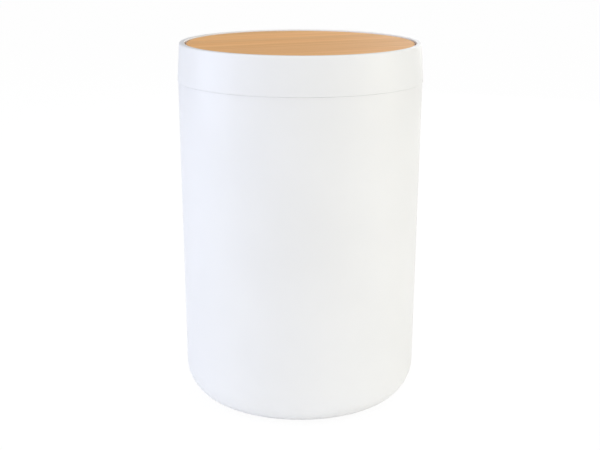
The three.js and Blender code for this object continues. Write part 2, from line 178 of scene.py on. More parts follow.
TUB_WALL = 0.002
TUB_SLOPE = 0.01633
TUB_CORNER = 0.0306
TUB_RIM_ROUND = 0.0004
TUB_RIM_LIFT = 0.00035     # the rim carries the collar, so it closes the frame's clearance to it
FOOT_RING_WIDTH = 0.012
BASE_RECESS = 0.0015
FOOT_RING_ROUND = 0.0008
STEP_TOP_INSET = 0.0024    # centres of the two roundings between the recess and the foot ring
STEP_FOOT_OUTSET = 0.0002
BASE_MARKS = (             # radius, and rise above the recessed base: the gate's pocket, then a fine ring
    (0, 0.0004), (0.0012, 0.0004), (0.0016, 0.0008), (0.003, 0.0008), (0.0036, 0),
    (0.0245, 0), (0.025, -0.0005), (0.0266, -0.0005), (0.0271, 0),
)
WALL_LOOPS = (0.08, 0.13, 0.18, 0.22)
PAD_RADIUS = 0.005
PAD_SOCKET_DEPTH = 0.0008
PAD_SOCKET_SLACK = 0.0002
ROUND_STEPS = 192
SMOOTH_DEG = 32            # edges flatter than this are shaded smooth
CUT_PAST = 0.001           # how far a cutting tool runs past the face it opens


def arc(centre_r, centre_z, radius, from_deg, to_deg, steps):
    """Points of a round corner, as (radius, height) pairs."""
    points = []
    for i in range(steps + 1):
        angle = math.radians(from_deg + (to_deg - from_deg) * i / steps)
        points.append((centre_r + radius * math.cos(angle), centre_z + radius * math.sin(angle)))
    return points


def select_only(piece):
    deselect_all()
    piece.select_set(True)
    bpy.context.view_layer.objects.active = piece


def bake_place():
    """Moves the active object's place, turn and size into its mesh, so that the object sits at the origin."""
    bpy.ops.object.transform_apply(location=True, rotation=True, scale=True)
    return bpy.context.object


def draw_line(name, corners):
    """Draws a line through 3-D corners, one extruded vertex after another, and stays in edit mode."""
    deselect_all()
    bpy.ops.mesh.primitive_plane_add(size=0.001, location=corners[0])
    bpy.context.object.name = name
    bpy.ops.object.mode_set(mode="EDIT")
    bpy.ops.mesh.select_mode(type="VERT")
    bpy.ops.mesh.select_all(action="SELECT")
    bpy.ops.mesh.merge(type="CENTER")
    last = Vector(corners[0])
    for corner in corners[1:]:
        step = Vector(corner) - last
        bpy.ops.mesh.extrude_region_move(TRANSFORM_OT_translate={"value": step})
        last = Vector(corner)
    return bpy.context.object


def finish_mesh():
    """Leaves edit mode with faces pointing out, the place in the mesh, and round faces shaded smooth."""
    bpy.ops.mesh.select_all(action="SELECT")
    bpy.ops.mesh.remove_doubles(threshold=1e-6)
    bpy.ops.mesh.normals_make_consistent(inside=False)
    bpy.ops.object.mode_set(mode="OBJECT")
    bake_place()
    bpy.ops.object.shade_smooth_by_angle(angle=math.radians(SMOOTH_DEG))
    return bpy.context.object


def spin_section(name, section, steps):
    """Spins a closed wall section of (radius, height) points about Z."""
    draw_line(name, [(r, 0, z) for r, z in section])
    bpy.ops.mesh.select_all(action="SELECT")
    bpy.ops.mesh.spin(steps=steps, angle=2 * math.pi, center=(0, 0, 0), axis=(0, 0, 1))
    return finish_mesh()


def carve(piece, operation, tools):
    """Cuts tools out of a piece, or joins them to it, and puts the tools away."""
    for tool in tools:
        select_only(piece)
        step = piece.modifiers.new("carve", "BOOLEAN")
        step.operation = operation
        step.solver = "EXACT"
        step.object = tool
        bpy.ops.object.modifier_apply(modifier=step.name)
        bpy.data.objects.remove(tool)
    bpy.ops.object.shade_smooth_by_angle(angle=math.radians(SMOOTH_DEG))
    return piece


def peg(radius, low, high, x, y, sides):
    """A plain round tool for drilling a hole."""
    deselect_all()
    bpy.ops.mesh.primitive_cylinder_add(
        vertices=sides, radius=radius, depth=high - low, location=(x, y, (low + high) / 2)
    )
    return bake_place()


def places_of(nodes):
    """CAD nodes, each with the middle of its box."""
    return [(node, (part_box(node)[0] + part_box(node)[1]) / 2) for node in nodes]


def pad_places():
    return places_of(f"foot_pad_{i}" for i in range(1, 5))


def make_tub():
    low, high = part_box("bin_body")
    foot, top, mouth = low.z, high.z, high.x
    lean = math.degrees(math.atan(TUB_SLOPE))
    corner_z = foot + TUB_CORNER
    corner_r = mouth - TUB_SLOPE * (top - corner_z) - TUB_CORNER / math.cos(math.radians(lean))
    ring_in = corner_r - FOOT_RING_WIDTH
    roof = foot + BASE_RECESS
    rim = TUB_RIM_ROUND
    section = [(r, roof + rise) for r, rise in BASE_MARKS]
    section += arc(ring_in - STEP_TOP_INSET, roof - FOOT_RING_ROUND, FOOT_RING_ROUND, 90, 20, 4)
    section += arc(ring_in + STEP_FOOT_OUTSET, foot + FOOT_RING_ROUND, FOOT_RING_ROUND, 200, 270, 4)
    section += arc(corner_r, corner_z, TUB_CORNER, -90, -lean, 28)
    section += [(mouth - TUB_SLOPE * (top - z), z) for z in WALL_LOOPS]
    rim_z = top + TUB_RIM_LIFT - rim
    section += arc(mouth - rim, rim_z, rim, 0, 90, 4)
    section += arc(mouth - TUB_WALL + rim, rim_z, rim, 90, 180, 4)
    section += [(mouth - TUB_WALL - TUB_SLOPE * (top - z), z) for z in reversed(WALL_LOOPS)]
    section += arc(corner_r, corner_z, TUB_CORNER - TUB_WALL, -lean, -90, 20)
    section += [(ring_in, foot + TUB_WALL), (ring_in - BASE_RECESS, roof + TUB_WALL), (0, roof + TUB_WALL)]
    tub = spin_section("tub", section, ROUND_STEPS)
    sockets = [
        peg(PAD_RADIUS + PAD_SOCKET_SLACK, foot - CUT_PAST, foot + PAD_SOCKET_DEPTH, place.x, place.y, 48)
        for _, place in pad_places()
    ]
    return carve(tub, "DIFFERENCE", sockets)


def add_node(tree, kind, inputs=None, **settings):
    """Adds a shader node with its settings and its fixed input values."""
    node = tree.nodes.new(kind)
    for name, value in settings.items():
        setattr(node, name, value)
    for key, value in (inputs or {}).items():
        node.inputs[key].default_value = value
    return node


def add_finish_outputs(face):
    face.new_socket("Colour", in_out="OUTPUT", socket_type="NodeSocketColor")
    face.new_socket("Roughness", in_out="OUTPUT", socket_type="NodeSocketFloat")
    face.new_socket("Height", in_out="OUTPUT", socket_type="NodeSocketFloat")


def build_moulded_skin():
    """Moulded plastic: a faint cloudy tone, wiped and dull patches, and the fine skin of a blasted mould."""
    group = bpy.data.node_groups.new("moulded_skin", "ShaderNodeTree")
    face = group.interface
    for name, value in (("Plain", (0.8, 0.8, 0.8, 1)), ("Cloud", (0.75, 0.75, 0.75, 1))):
        face.new_socket(name, in_out="INPUT", socket_type="NodeSocketColor").default_value = value
    for name, value in (("Smooth", 0.3), ("Dull", 0.45), ("Skin", 900.0)):
        face.new_socket(name, in_out="INPUT", socket_type="NodeSocketFloat").default_value = value
    add_finish_outputs(face)
    start = add_node(group, "NodeGroupInput")
    end = add_node(group, "NodeGroupOutput")
    place = add_node(group, "ShaderNodeTexCoord")
    link = group.links.new

    cloud = add_node(group, "ShaderNodeTexNoise", {"Scale": 14.0, "Detail": 3.0, "Roughness": 0.5})
    link(place.outputs["Object"], cloud.inputs["Vector"])
    tone = add_node(group, "ShaderNodeMix", data_type="RGBA")
    cloud_range = add_node(group, "ShaderNodeMapRange", {"From Min": 0.35, "From Max": 0.65})
    link(cloud.outputs["Fac"], cloud_range.inputs["Value"])
    link(cloud_range.outputs["Result"], tone.inputs["Factor"])
    link(start.outputs["Plain"], tone.inputs["A"])
    link(start.outputs["Cloud"], tone.inputs["B"])
    link(tone.outputs["Result"], end.inputs["Colour"])

    drawn = add_node(group, "ShaderNodeMapping", {"Scale": (1.0, 1.0, 0.22)})
    link(place.outputs["Object"], drawn.inputs["Vector"])
    wiped = add_node(group, "ShaderNodeTexNoise", {"Scale": 70.0, "Detail": 5.0, "Roughness": 0.6})
    link(drawn.outputs["Vector"], wiped.inputs["Vector"])
    gloss = add_node(group, "ShaderNodeMapRange", {"From Min": 0.3, "From Max": 0.7})
    link(wiped.outputs["Fac"], gloss.inputs["Value"])
    link(start.outputs["Smooth"], gloss.inputs["To Min"])
    link(start.outputs["Dull"], gloss.inputs["To Max"])
    link(gloss.outputs["Result"], end.inputs["Roughness"])

    skin = add_node(group, "ShaderNodeTexNoise", {"Detail": 2.0, "Roughness": 0.55})
    link(place.outputs["Object"], skin.inputs["Vector"])
    link(start.outputs["Skin"], skin.inputs["Scale"])
    swell = add_node(group, "ShaderNodeTexNoise", {"Scale": 45.0, "Detail": 1.0})
    link(place.outputs["Object"], swell.inputs["Vector"])
    height = add_node(group, "ShaderNodeMath", {1: 2.5}, operation="MULTIPLY_ADD")
    link(swell.outputs["Fac"], height.inputs[0])
    link(skin.outputs["Fac"], height.inputs[2])
    link(height.outputs["Value"], end.inputs["Height"])
    return group


moulded_skin = build_moulded_skin()


def new_material(name):
    material = bpy.data.materials.new(name)
    material.use_nodes = True
    return material, material.node_tree, material.node_tree.nodes["Principled BSDF"]


def add_bump(tree, shader, height, distance):
    bump = add_node(tree, "ShaderNodeBump", {"Strength": 1.0, "Distance": distance})
    tree.links.new(height, bump.inputs["Height"])
    tree.links.new(bump.outputs["Normal"], shader.inputs["Normal"])


def moulded_plastic(name, plain, cloud, smooth, dull, skin=900.0, bump=0.00002, glow=0.12):
    """A moulded thermoplastic finish. Glow is the share of light that goes a little way in and comes out."""
    material, tree, shader = new_material(name)
    finish = {"Plain": plain, "Cloud": cloud, "Smooth": smooth, "Dull": dull, "Skin": skin}
    surface = add_node(tree, "ShaderNodeGroup", node_tree=moulded_skin)
    for key, value in finish.items():
        surface.inputs[key].default_value = value
    link = tree.links.new
    link(surface.outputs["Colour"], shader.inputs["Base Color"])
    link(surface.outputs["Roughness"], shader.inputs["Roughness"])
    add_bump(tree, shader, surface.outputs["Height"], bump)
    shader.inputs["Specular IOR Level"].default_value = 0.45
    shader.inputs["Subsurface Weight"].default_value = glow
    shader.inputs["Subsurface Radius"].default_value = (1.0, 0.95, 0.9)
    shader.inputs["Subsurface Scale"].default_value = 0.002
    return material


def fit_piece(piece, body, slot, material, *nodes):
    """Gives a finished piece its material, hangs it on the body it rides on, and hides the CAD nodes it
    stands for.
    """
    piece.data.materials.clear()
    piece.data.materials.append(material)
    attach(piece, body)
    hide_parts(*nodes)


WHITE = (0.86, 0.862, 0.868, 1)
WHITE_CLOUD = (0.84, 0.842, 0.848, 1)
tub_white = moulded_plastic("tub_white", WHITE, WHITE_CLOUD, 0.3, 0.4)
tub = make_tub()
fit_piece(tub, "bin", "tub_plastic", tub_white, "bin_body")


# ---------------------------------------------------------------- foot pads
# Four soft rubber pads are pressed into sockets in the foot ring and keep the bin from sliding. Each has a
# rounded edge and two grooves in its tread.

GROOVE_STARTS = (0.0013, 0.0030)
GROOVE_DEPTH = 0.00025
GROOVE_SLANT = 0.00015
GROOVE_WIDTH = 0.0007
PAD_FOOT_ROUND = 0.0004
PAD_TOP_ROUND = 0.0002


def rubber_grey():
    material, tree, shader = new_material("pad_grey")
    link = tree.links.new
    place = add_node(tree, "ShaderNodeTexCoord")
    speck = add_node(tree, "ShaderNodeTexNoise", {"Scale": 900.0, "Detail": 4.0, "Roughness": 0.7})
    link(place.outputs["Object"], speck.inputs["Vector"])
    greys = {"A": (0.5, 0.51, 0.52, 1), "B": (0.62, 0.63, 0.64, 1)}
    tone = add_node(tree, "ShaderNodeMix", greys, data_type="RGBA")
    link(speck.outputs["Fac"], tone.inputs["Factor"])
    link(tone.outputs["Result"], shader.inputs["Base Color"])
    dull = add_node(tree, "ShaderNodeMapRange", {"To Min": 0.65, "To Max": 0.9})
    link(speck.outputs["Fac"], dull.inputs["Value"])
    link(dull.outputs["Result"], shader.inputs["Roughness"])
    add_bump(tree, shader, speck.outputs["Fac"], 0.00006)
    return material


def make_pad(node, place):
    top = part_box(node)[1].z
    section = [(0, 0)]
    for start in GROOVE_STARTS:
        end = start + GROOVE_WIDTH
        section += [(start, 0), (start + GROOVE_SLANT, GROOVE_DEPTH)]
        section += [(end - GROOVE_SLANT, GROOVE_DEPTH), (end, 0)]
    section += arc(PAD_RADIUS - PAD_FOOT_ROUND, PAD_FOOT_ROUND, PAD_FOOT_ROUND, -90, 0, 4)
    section += arc(PAD_RADIUS - PAD_TOP_ROUND, top - PAD_TOP_ROUND, PAD_TOP_ROUND, 0, 90, 2)
    section += [(0, top)]
    pad = spin_section(node.replace("foot_pad", "pad"), section, 48)
    bpy.ops.transform.translate(value=(place.x, place.y, 0))
    bake_place()
    return pad


pad_rubber = rubber_grey()
for pad_node, pad_place in pad_places():
    fit_piece(make_pad(pad_node, pad_place), "bin", "pad_rubber", pad_rubber, pad_node)


# ---------------------------------------------------------------- collar
# The collar is a second white moulding. Its section is an upside-down U: the skirt sits on the tub's rim, a
# hair proud of the tub, and the inner wall plugs into the tub's mouth. Ribs in the channel centre it.
# At each end of the swing axis a boss carries a bush, with a keystone tongue that stops the open lid.

COLLAR_BORE = 0.0875
COLLAR_INNER_WALL = 0.0015
COLLAR_SKIRT_WALL = 0.0016
COLLAR_ROOF = 0.0028
COLLAR_TOP_RADIUS = 0.0916
COLLAR_SKIRT_FOOT = 0.2513
COLLAR_CROWN_ROUND = 0.0012
COLLAR_LIP_ROUND = 0.0007
COLLAR_FOOT_ROUND = 0.0003
COLLAR_FILLET = 0.0004     # at the spigot's foot and in the root of the channel
SKIRT_LOOPS = (0.258, 0.265, 0.272)
COLLAR_RIBS = 12
RIB_WIDTH = 0.0015
RIB_REACH = 0.0903
RIB_RISE = 0.0025          # from the spigot's foot up to the rib, and on up to the top of its slanted toe
RIB_TOE_RISE = 0.004
RIB_TOE = 0.0005
RIB_INTO_SKIRT = 0.0004
RIB_INTO_ROOF = 0.0005
GAP = 0.0003               # the frame's clearance between neighbouring pieces
BOSS_FACE = 0.085
BOSS_RADIUS = 0.00465
BOSS_EDGE = 0.0003
TONGUE_LENGTH = 0.0145
TONGUE_TOE_ROUND = 0.0012
TONGUE_TOE_SLANT = 0.0001
BLOCK_HALF_WIDTH = 0.006
BLOCK_HALF_HEIGHT = 0.0064
BLOCK_EDGE = 0.0004
BLOCK_INTO_SKIRT = 0.0007
BUSH_HOLE = 0.0032
BUSH_HOLE_END = 0.0906
SWING_STOP_DEG = 80
AXIS_Z = frame["joints"][1]["pos_m"][2]


def box_piece(name, low, high, edge=0.0, edge_steps=2):
    """A block between two corners, with its edges rounded."""
    deselect_all()
    low, high = Vector(low), Vector(high)
    bpy.ops.mesh.primitive_cube_add(size=1, location=(low + high) / 2, scale=high - low)
    bpy.context.object.name = name
    bake_place()
    if edge:
        bpy.ops.object.mode_set(mode="EDIT")
        bpy.ops.mesh.select_all(action="SELECT")
        bpy.ops.mesh.bevel(offset=edge, segments=edge_steps, affect="EDGES")
        bpy.ops.object.mode_set(mode="OBJECT")
    return bpy.context.object


def extrude_outline(name, outline, along):
    """Fills a flat outline of 3-D points and pushes it out along a vector."""
    draw_line(name, outline)
    bpy.ops.mesh.select_all(action="SELECT")
    bpy.ops.mesh.edge_face_add()
    bpy.ops.mesh.extrude_region_move(TRANSFORM_OT_translate={"value": along})
    return finish_mesh()


def round_edges(piece, offset, segments, chosen):
    """Bevels the edges of a finished piece whose two ends pass a test."""
    select_only(piece)
    bpy.ops.object.mode_set(mode="EDIT")
    bpy.ops.mesh.select_mode(type="EDGE")
    bpy.ops.mesh.select_all(action="DESELECT")
    bpy.ops.object.mode_set(mode="OBJECT")
    for edge in piece.data.edges:
        a, b = (piece.data.vertices[i].co for i in edge.vertices)
        edge.select = chosen(a, b)
    bpy.ops.object.mode_set(mode="EDIT")
    bpy.ops.mesh.bevel(offset=offset, segments=segments, affect="EDGES")
    bpy.ops.object.mode_set(mode="OBJECT")
    return piece


def turn_about_z(piece, degrees):
    """Turns a finished piece about Z and keeps its place in its mesh."""
    piece.rotation_euler.z = math.radians(degrees)
    select_only(piece)
    return bake_place()


def collar_radius(z):
    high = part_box("collar_ring")[1]
    share = (z - COLLAR_SKIRT_FOOT) / (high.z - COLLAR_SKIRT_FOOT)
    return high.x + share * (COLLAR_TOP_RADIUS - high.x)


def collar_rib(degrees):
    low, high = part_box("collar_ring")
    inner = COLLAR_BORE + COLLAR_INNER_WALL / 2
    ledge = COLLAR_SKIRT_FOOT + GAP
    roof = high.z - COLLAR_ROOF + RIB_INTO_ROOF
    outline = [
        (inner, low.z + RIB_RISE),
        (RIB_REACH - RIB_TOE, low.z + RIB_RISE),
        (RIB_REACH, low.z + RIB_TOE_RISE),
        (RIB_REACH, ledge),
        (collar_radius(ledge) - COLLAR_SKIRT_WALL + RIB_INTO_SKIRT, ledge),
        (collar_radius(roof) - COLLAR_SKIRT_WALL + RIB_INTO_SKIRT, roof),
        (inner, roof),
    ]
    rib = extrude_outline("rib", [(x, -RIB_WIDTH / 2, z) for x, z in outline], (0, RIB_WIDTH, 0))
    return turn_about_z(rib, degrees)


def stop_boss(degrees):
    """The round boss and its tongue in one outline. The open lid comes to rest on the tongue's sides."""
    lean_deg = 90 - SWING_STOP_DEG
    lean = math.radians(lean_deg)
    foot_y = BOSS_RADIUS * math.cos(lean) + TONGUE_LENGTH * math.sin(lean)
    foot_z = BOSS_RADIUS * math.sin(lean) - TONGUE_LENGTH * math.cos(lean)
    crown = arc(0, 0, BOSS_RADIUS, lean_deg, 180 - lean_deg, 28)
    toe = [(-foot_y + TONGUE_TOE_SLANT, foot_z + TONGUE_TOE_ROUND), (-foot_y + TONGUE_TOE_ROUND, foot_z)]
    outline = crown + toe + [(-y, z) for y, z in reversed(toe)]
    points = [(BOSS_FACE, y, AXIS_Z + z) for y, z in outline]
    deeper = COLLAR_BORE + COLLAR_INNER_WALL / 2 - BOSS_FACE
    boss = extrude_outline("boss", points, (deeper, 0, 0))
    round_edges(boss, BOSS_EDGE, 3, lambda a, b: max(a.x, b.x) < BOSS_FACE + 1e-5)
    return turn_about_z(boss, degrees)


def bearing_block(degrees):
    inner = COLLAR_BORE + COLLAR_INNER_WALL / 2
    outer = collar_radius(AXIS_Z) - COLLAR_SKIRT_WALL + BLOCK_INTO_SKIRT
    low = (inner, -BLOCK_HALF_WIDTH, AXIS_Z - BLOCK_HALF_HEIGHT)
    high = (outer, BLOCK_HALF_WIDTH, AXIS_Z + BLOCK_HALF_HEIGHT)
    return turn_about_z(box_piece("bearing_block", low, high, BLOCK_EDGE), degrees)


def axis_peg(radius, low_x, high_x, degrees, sides=48):
    """A round tool along the swing axis."""
    deselect_all()
    bpy.ops.mesh.primitive_cylinder_add(
        vertices=sides, radius=radius, depth=high_x - low_x,
        location=((low_x + high_x) / 2, 0, AXIS_Z), rotation=(0, math.pi / 2, 0),
    )
    return turn_about_z(bake_place(), degrees)


def make_collar():
    low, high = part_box("collar_ring")
    foot, top = COLLAR_SKIRT_FOOT, high.z
    crown, lip, fillet = COLLAR_CROWN_ROUND, COLLAR_LIP_ROUND, COLLAR_FILLET
    roof = top - COLLAR_ROOF
    channel = COLLAR_BORE + COLLAR_INNER_WALL
    foot_round = COLLAR_FOOT_ROUND
    section = arc(collar_radius(foot) - foot_round, foot + foot_round, foot_round, -90, 0, 6)
    section += [(collar_radius(z), z) for z in SKIRT_LOOPS]
    section += arc(collar_radius(top - crown) - crown, top - crown, crown, 0, 90, 10)
    section += arc(COLLAR_BORE + lip, top - lip, lip, 90, 180, 6)
    section += arc(COLLAR_BORE + fillet, low.z + fillet, fillet, 180, 270, 3)
    section += arc(channel - fillet, low.z + fillet, fillet, -90, 0, 3)
    section += arc(channel + fillet, roof - fillet, fillet, 180, 90, 3)
    section += [(collar_radius(z) - COLLAR_SKIRT_WALL, z) for z in (roof, foot)]
    section += section[:1]
    collar = spin_section("collar", section, ROUND_STEPS)
    ribs = [collar_rib((i + 0.5) * 360 / COLLAR_RIBS) for i in range(COLLAR_RIBS)]
    ends = [make(turn) for make in (bearing_block, stop_boss) for turn in (0, 180)]
    carve(collar, "UNION", ribs + ends)
    holes = [axis_peg(BUSH_HOLE, BOSS_FACE - 2 * CUT_PAST, BUSH_HOLE_END, turn) for turn in (0, 180)]
    return carve(collar, "DIFFERENCE", holes)


collar_white = moulded_plastic("collar_white", WHITE, WHITE_CLOUD, 0.28, 0.38)
collar = make_collar()
fit_piece(collar, "collar", "collar_plastic", collar_white, "collar_ring")


# ---------------------------------------------------------------- pivot bushes
# A flanged bush of natural acetal is pressed into each boss of the collar. The steel pin turns in it.

BUSH_BORE = 0.00205
BUSH_BARREL = 0.003
BUSH_FLANGE = 0.004
BUSH_FLANGE_THICK = 0.0006
BUSH_EDGE = 0.00015
SIDES = (("left", 180), ("right", 0))


def lay_on_axis(piece, degrees):
    """Lays a piece that was spun about Z on the swing axis, its top pointing outwards."""
    piece.rotation_euler = (0, math.pi / 2, 0)
    piece.location = (0, 0, AXIS_Z)
    select_only(piece)
    return turn_about_z(bake_place(), degrees)


def make_bush(side, degrees):
    low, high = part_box("pivot_bush_right")
    front, back, edge = low.x, high.x, BUSH_EDGE
    step = front + BUSH_FLANGE_THICK
    section = [(BUSH_BORE + edge, front), (BUSH_FLANGE - edge, front), (BUSH_FLANGE, front + edge)]
    section += [(BUSH_FLANGE, step - edge), (BUSH_FLANGE - edge, step), (BUSH_BARREL, step)]
    section += [(BUSH_BARREL, back - 2 * edge), (BUSH_BARREL - 2 * edge, back), (BUSH_BORE + edge, back)]
    section += [(BUSH_BORE, back - edge), (BUSH_BORE, front + edge), (BUSH_BORE + edge, front)]
    return lay_on_axis(spin_section(f"bush_{side}", section, 64), degrees)


acetal = moulded_plastic(
    "acetal", (0.76, 0.74, 0.67, 1), (0.72, 0.7, 0.63, 1), 0.3, 0.42, skin=1800.0, bump=0.00001, glow=0.2
)
for side, degrees in SIDES:
    fit_piece(make_bush(side, degrees), "collar", "bush_plastic", acetal, f"pivot_bush_{side}")


# ---------------------------------------------------------------- bamboo disc
# The lid's top is a 6 mm board of pressed bamboo strips, turned to a disc, sanded and given a thin clear matt
# coat. The strips run along the swing axis. Screws from below bite into blind holes in its underside.

LID_TOP_ROUND = 0.0008
LID_FOOT_ROUND = 0.0005
DISC_LOOPS = (0.25, 0.5, 0.75)      # shares of the disc's radius
SCREW_HOLE = 0.0016
SCREW_BITE = 0.004
STRIP_WIDTH = 0.0185


def screw_places():
    return places_of(f"lid_screw_{i}" for i in range(1, 7))


def cover_screw_places():
    return places_of(f"cover_screw_{side}" for side, _ in SIDES)


def make_disc():
    low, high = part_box("lid_panel")
    radius = high.x
    section = [(0, low.z)]
    section += [(share * radius, low.z) for share in DISC_LOOPS]
    section += arc(radius - LID_FOOT_ROUND, low.z + LID_FOOT_ROUND, LID_FOOT_ROUND, -90, 0, 4)
    section += arc(radius - LID_TOP_ROUND, high.z - LID_TOP_ROUND, LID_TOP_ROUND, 0, 90, 8)
    section += [(share * radius, high.z) for share in reversed(DISC_LOOPS)]
    section += [(0, high.z)]
    disc = spin_section("bamboo_disc", section, ROUND_STEPS)
    holes = [
        peg(SCREW_HOLE, low.z - CUT_PAST, low.z + SCREW_BITE, place.x, place.y, 32)
        for _, place in screw_places()
    ]
    return carve(disc, "DIFFERENCE", holes)


def bamboo_board():
    """Strips with their own tone: streaks, fine fibres and darker pores along the grain, and thin joints."""
    material, tree, shader = new_material("bamboo_board")
    link = tree.links.new
    place = add_node(tree, "ShaderNodeTexCoord")
    split = add_node(tree, "ShaderNodeSeparateXYZ")
    link(place.outputs["Object"], split.inputs["Vector"])

    def maths(operation, first, second=None):
        step = add_node(tree, "ShaderNodeMath", operation=operation)
        for socket, value in zip(step.inputs, (first, second)):
            if value is None:
                continue
            if isinstance(value, (int, float)):
                socket.default_value = value
            else:
                link(value, socket)
        return step.outputs["Value"]

    def mixed(factor, first, second, blend="MIX"):
        step = add_node(tree, "ShaderNodeMix", data_type="RGBA", blend_type=blend)
        for key, value in (("Factor", factor), ("A", first), ("B", second)):
            if isinstance(value, (int, float, tuple)):
                step.inputs[key].default_value = value
            else:
                link(value, step.inputs[key])
        return step.outputs["Result"]

    def noise(stretch, detail, roughness):
        vector = add_node(tree, "ShaderNodeMapping", {"Scale": stretch})
        link(place.outputs["Object"], vector.inputs["Vector"])
        link(shift.outputs["Vector"], vector.inputs["Location"])
        step = add_node(tree, "ShaderNodeTexNoise", {"Scale": 1.0, "Detail": detail, "Roughness": roughness})
        link(vector.outputs["Vector"], step.inputs["Vector"])
        return step.outputs["Fac"]

    def ramped(value, low, high, to_low=0.0, to_high=1.0):
        limits = {"From Min": low, "From Max": high, "To Min": to_low, "To Max": to_high}
        step = add_node(tree, "ShaderNodeMapRange", limits)
        link(value, step.inputs["Value"])
        return step.outputs["Result"]

    across = maths("DIVIDE", split.outputs["Y"], STRIP_WIDTH)
    strip = maths("FLOOR", across)
    chance = add_node(tree, "ShaderNodeTexWhiteNoise", noise_dimensions="1D")
    link(strip, chance.inputs["W"])
    shift = add_node(tree, "ShaderNodeCombineXYZ")
    link(maths("MULTIPLY", chance.outputs["Value"], 3.0), shift.inputs["X"])
    link(maths("MULTIPLY", strip, 0.37), shift.inputs["Z"])

    fibre = noise((9.0, 900.0, 900.0), 3.0, 0.6)
    streak = noise((5.0, 190.0, 190.0), 4.0, 0.6)
    drift = noise((7.0, 26.0, 26.0), 2.0, 0.5)
    pore = noise((26.0, 1500.0, 1500.0), 1.0, 0.5)

    tone = mixed(ramped(streak, 0.37, 0.63), (0.8, 0.41, 0.141, 1), (0.935, 0.524, 0.211, 1))
    tone = mixed(ramped(drift, 0.35, 0.7, 0.0, 0.55), tone, (0.872, 0.472, 0.183, 1))
    tone = mixed(ramped(fibre, 0.45, 0.8, 0.0, 0.4), tone, (0.68, 0.322, 0.102, 1))
    tone = mixed(ramped(pore, 0.62, 0.74, 0.0, 0.4), tone, (0.485, 0.21, 0.061, 1))
    own = ramped(chance.outputs["Value"], 0.0, 1.0, 0.93, 1.06)
    grey = add_node(tree, "ShaderNodeCombineColor")
    for key in ("Red", "Green", "Blue"):
        link(own, grey.inputs[key])
    tone = mixed(1.0, tone, grey.outputs["Color"], "MULTIPLY")

    joint = maths("ABSOLUTE", maths("SUBTRACT", maths("FRACT", across), 0.5))
    seam = ramped(joint, 0.4925, 0.4985)
    tone = mixed(maths("MULTIPLY", seam, 0.5), tone, (0.38, 0.2, 0.09, 1))
    link(tone, shader.inputs["Base Color"])

    link(ramped(fibre, 0.3, 0.75, 0.44, 0.58), shader.inputs["Roughness"])
    shader.inputs["Specular IOR Level"].default_value = 0.5
    grain = maths("SUBTRACT", maths("MULTIPLY", fibre, 0.6), maths("MULTIPLY", seam, 0.8))
    add_bump(tree, shader, maths("SUBTRACT", grain, maths("MULTIPLY", pore, 0.4)), 0.00006)
    return material


disc = make_disc()
fit_piece(disc, "lid", "bamboo", bamboo_board(), "lid_panel")


# ---------------------------------------------------------------- lid carrier
# The white moulded plate under the bamboo has a lip round its edge, stiffening ribs, a boss for each pivot
# pin, and a trough across the middle that holds the weight.

CARRIER_PLATE = 0.002
CARRIER_LIP = 0.002
CARRIER_LIP_DEPTH = 0.004
CARRIER_EDGE = 0.0005
CARRIER_LOOP = 0.04
INTO_PLATE = 0.0005        # how far the pieces joined to the plate run into it and into each other
TROUGH_LONG = 0.072        # half lengths and half widths
TROUGH_WIDE = 0.009
TROUGH_WALL = 0.002
TROUGH_END = 0.009
POCKET_EDGE = 0.0004
PIN_BOSS = 0.0046
PIN_BOSS_END = 0.0838
PIN_HOLE = 0.00215
BOSS_WEB_INSET = 0.0002    # the web under a boss is this much narrower than the boss at each side
BOSS_WEB_START = 0.0015    # its two ends: in from the trough's end, and in from the plate's edge
BOSS_WEB_STOP = 0.0006
STIFFENER_X = 0.028
STIFFENER_RISE = 0.0002
STIFFENER_EDGE = 0.0003
WEB_PLACES = (-0.045, -0.015, 0.015, 0.045)
WEB_THICK = 0.0016
CLEAR_HOLE = 0.0018


def stiffeners(x, lip_in, low_z, high_z):
    """The two thin ribs at one X, from the trough out to the lip on either side."""
    start, reach = TROUGH_WIDE - INTO_PLATE, math.sqrt(lip_in ** 2 - x ** 2) + INTO_PLATE
    low_x, high_x = x - WEB_THICK / 2, x + WEB_THICK / 2
    return [
        box_piece("stiffener", (low_x, low_y, low_z), (high_x, high_y, high_z), STIFFENER_EDGE)
        for low_y, high_y in ((start, reach), (-reach, -start))
    ]


def pin_boss(degrees, radius, top):
    """The boss that holds a pin, and the web that ties it to the plate."""
    wide = PIN_BOSS - BOSS_WEB_INSET
    low = (TROUGH_LONG - BOSS_WEB_START, -wide, AXIS_Z)
    web = box_piece("boss_web", low, (radius - BOSS_WEB_STOP, wide, top))
    boss = axis_peg(PIN_BOSS, TROUGH_LONG - CUT_PAST, PIN_BOSS_END, degrees, 64)
    round_edges(boss, CARRIER_EDGE, 3, lambda a, b: min(abs(a.x), abs(b.x)) > PIN_BOSS_END - 1e-5)
    return [turn_about_z(web, degrees), boss]


